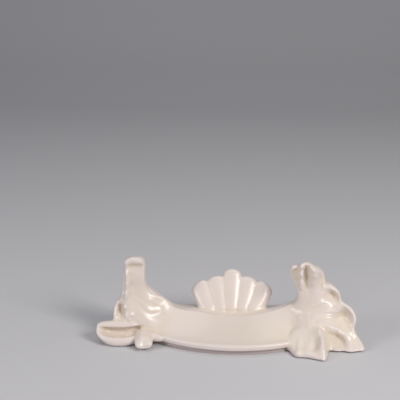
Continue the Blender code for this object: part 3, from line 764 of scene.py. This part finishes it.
ON_SURFACE = 0.05  # how close a face lies to the uncut form, if it isn't the side of a cut


def carry_normals(obj, surface, source):
    """Gives obj's outer faces the normals of the uncut source, so that no joint shows in the gloss."""
    mesh = obj.data
    normals = [vertex.normal.copy() for vertex in source.vertices]
    chosen = []
    for face in mesh.polygons:
        for vertex in face.vertices:
            co = mesh.vertices[vertex].co
            place, _, index, gap = surface.find_nearest(co)
            corners = source.polygons[index].vertices
            shares = poly_3d_calc([source.vertices[c].co for c in corners], place)
            normal = sum((normals[c] * share for c, share in zip(corners, shares)), Vector()).normalized()
            on_surface = gap < ON_SURFACE * MM and normal.dot(face.normal) > 0.6
            chosen.append(normal if on_surface else face.normal.copy())
    mesh.normals_split_custom_set(chosen)


def cut_with(obj, tool, operation):
    """Cuts obj with a tool that isn't needed again."""
    combine(obj, tool, operation)
    bpy.data.objects.remove(tool)


def hollow_body():
    """The whole glazed body, open below, with room for the foot."""
    body = merged_forms()
    carve(body)
    mark_hollows(body)
    cut_with(body, new_object("core", bed(WALL, HALF_LENGTH - WALL * 2.4)), "DIFFERENCE")
    room = flat_ring("room", [smooth_outline(foot_outline(), 3)], -2.0, SOLE, 0.05, grow=JOINT_GAP)
    cut_with(body, room, "DIFFERENCE")
    return body


def cut_castings(body):
    """Cuts the castings from the body, whose rest is the bed; all of them by name."""
    pieces = {}
    for name, (low, high) in CASTINGS.items():
        casting = new_object(name + "_glazed", body.data.copy())
        box = block(low, high)
        combine(casting, box, "INTERSECT")
        cut_with(body, box, "DIFFERENCE")
        pieces[name] = casting
    body.name = "bed_casting_glazed"
    pieces["bed_casting"] = body
    return pieces


whole = hollow_body()
uncut = whole.data.copy()
uncut_faces = [tuple(face.vertices) for face in uncut.polygons]
uncut_surface = BVHTree.FromPolygons([vertex.co for vertex in uncut.vertices], uncut_faces)
pieces = cut_castings(whole)
foot_loops = [smooth_outline(foot_outline(), 3), foot_hollow()]
pieces["foot_ring"] = flat_ring("foot_ring_glazed", foot_loops, 0.0, FOOT_HEIGHT, FOOT_EDGE)


# ---------------------------------------------------------------- glaze


def noise(nodes, links, place, scale, detail):
    """A cloudy pattern that is fixed to the object."""
    made = nodes.new("ShaderNodeTexNoise")
    made.inputs["Scale"].default_value = scale
    made.inputs["Detail"].default_value = detail
    links.new(place.outputs["Object"], made.inputs["Vector"])
    return made


def glaze(name, pooled, thin, roughness, coat):
    """A ceramic surface: pooled is its colour in hollows and thin its colour on crests."""
    material = bpy.data.materials.new(name)
    material.use_nodes = True
    nodes, links = material.node_tree.nodes, material.node_tree.links
    shader = nodes["Principled BSDF"]
    shader.inputs["Roughness"].default_value = roughness
    shader.inputs["Coat Weight"].default_value = coat
    shader.inputs["Coat Roughness"].default_value = 0.12
    place = nodes.new("ShaderNodeTexCoord")
    cloud = noise(nodes, links, place, 28.0, 3.0)
    hollow = nodes.new("ShaderNodeAttribute")
    hollow.attribute_name = "hollow"
    both = nodes.new("ShaderNodeMix")
    both.inputs["Factor"].default_value = 0.55
    links.new(cloud.outputs["Fac"], both.inputs["A"])
    links.new(hollow.outputs["Fac"], both.inputs["B"])
    tint = nodes.new("ShaderNodeValToRGB")
    tint.color_ramp.elements[0].position = 0.3
    tint.color_ramp.elements[0].color = thin
    tint.color_ramp.elements[1].position = 0.72
    tint.color_ramp.elements[1].color = pooled
    links.new(both.outputs["Result"], tint.inputs["Fac"])
    links.new(tint.outputs["Color"], shader.inputs["Base Color"])
    ripple = noise(nodes, links, place, 130.0, 2.0)
    bump = nodes.new("ShaderNodeBump")
    bump.inputs["Strength"].default_value = 0.3
    bump.inputs["Distance"].default_value = 0.0003
    links.new(ripple.outputs["Fac"], bump.inputs["Height"])
    links.new(bump.outputs["Normal"], shader.inputs["Normal"])
    return material


GLAZE = glaze("ivory_glaze", (0.76, 0.66, 0.53, 1), (0.80, 0.70, 0.66, 1), 0.36, 0.3)
# The foot's colours are dark partly because it is bare biscuit and partly as painted shade for the shadow
# that the lip casts on it
SHADED_BISCUIT = glaze("bare_foot_painted_shade", (0.42, 0.35, 0.33, 1), (0.52, 0.44, 0.42, 1), 0.6, 0.05)
for name, obj in pieces.items():
    is_foot = name == "foot_ring"
    main_body(obj.data)
    obj.data.materials.clear()
    obj.data.materials.append(SHADED_BISCUIT if is_foot else GLAZE)
    obj.data.shade_smooth()
    if is_foot:
        obj.data.set_sharp_from_angle(angle=math.radians(40))
    else:
        carry_normals(obj, uncut_surface, uncut)
    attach(obj, "root")
    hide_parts(name)


# ---------------------------------------------------------------- floor, light and camera


def plain(name, colour, roughness):
    """A material of one colour."""
    material = bpy.data.materials.new(name)
    material.use_nodes = True
    shader = material.node_tree.nodes["Principled BSDF"]
    shader.inputs["Base Color"].default_value = colour
    shader.inputs["Roughness"].default_value = roughness
    return material


def sweep():
    """A pale floor that curves up into a backdrop."""
    profile = [(-3.0, 0.0), (1.2, 0.0), (1.5, 0.04), (1.75, 0.15), (1.92, 0.35), (2.0, 0.65), (2.0, 3.2)]
    verts = [(x, y, z) for x in (-4.0, 4.0) for y, z in profile]
    mesh = bpy.data.meshes.new("floor")
    n = len(profile)
    mesh.from_pydata(verts, [], [(k, n + k, n + k + 1, k + 1) for k in range(n - 1)])
    mesh.shade_smooth()
    obj = new_object("floor", mesh)
    mesh.materials.append(plain("pale_floor", (0.62, 0.61, 0.62, 1), 0.6))


def soft_light(name, place, target, size, power, colour=(1, 1, 1)):
    """A rectangular light of that size in metres, turned to the target."""
    light = bpy.data.lights.new(name, "AREA")
    light.shape = "RECTANGLE"
    light.size, light.size_y = size
    light.energy = power
    light.color = colour
    obj = bpy.data.objects.new(name, light)
    bpy.context.scene.collection.objects.link(obj)
    obj.location = place
    obj.rotation_euler = (Vector(target) - Vector(place)).to_track_quat("-Z", "Y").to_euler()


sweep()
soft_light("key_right", (0.8, -0.75, 0.8), (0, 0, 0.04), (0.5, 0.5), 10.5, (1, 0.98, 0.96))
soft_light("side_left", (-1.0, -0.65, 0.55), (0, 0, 0.04), (0.5, 0.5), 5, (0.97, 0.97, 1))
soft_light("top", (0.0, 0.15, 1.3), (0, 0, 0), (1.2, 1.0), 3.2)

world = bpy.data.worlds.new("studio")
world.use_nodes = True
world.node_tree.nodes["Background"].inputs["Color"].default_value = (0.9, 0.92, 1.0, 1)
world.node_tree.nodes["Background"].inputs["Strength"].default_value = 0.22
bpy.context.scene.world = world

EYE = metres((15.64, -882.79, 391.44))
AIM = metres((-32.16, 29.16, 129.58))
camera = bpy.data.cameras.new("camera")
camera.sensor_width = 36
camera.lens = 87.3
camera.clip_start = 0.01
camera_object = bpy.data.objects.new("camera", camera)
bpy.context.scene.collection.objects.link(camera_object)
camera_object.location = EYE
camera_object.rotation_euler = (AIM - EYE).to_track_quat("-Z", "Y").to_euler()
bpy.context.scene.camera = camera_object
bpy.context.scene.view_settings.view_transform = "Standard"
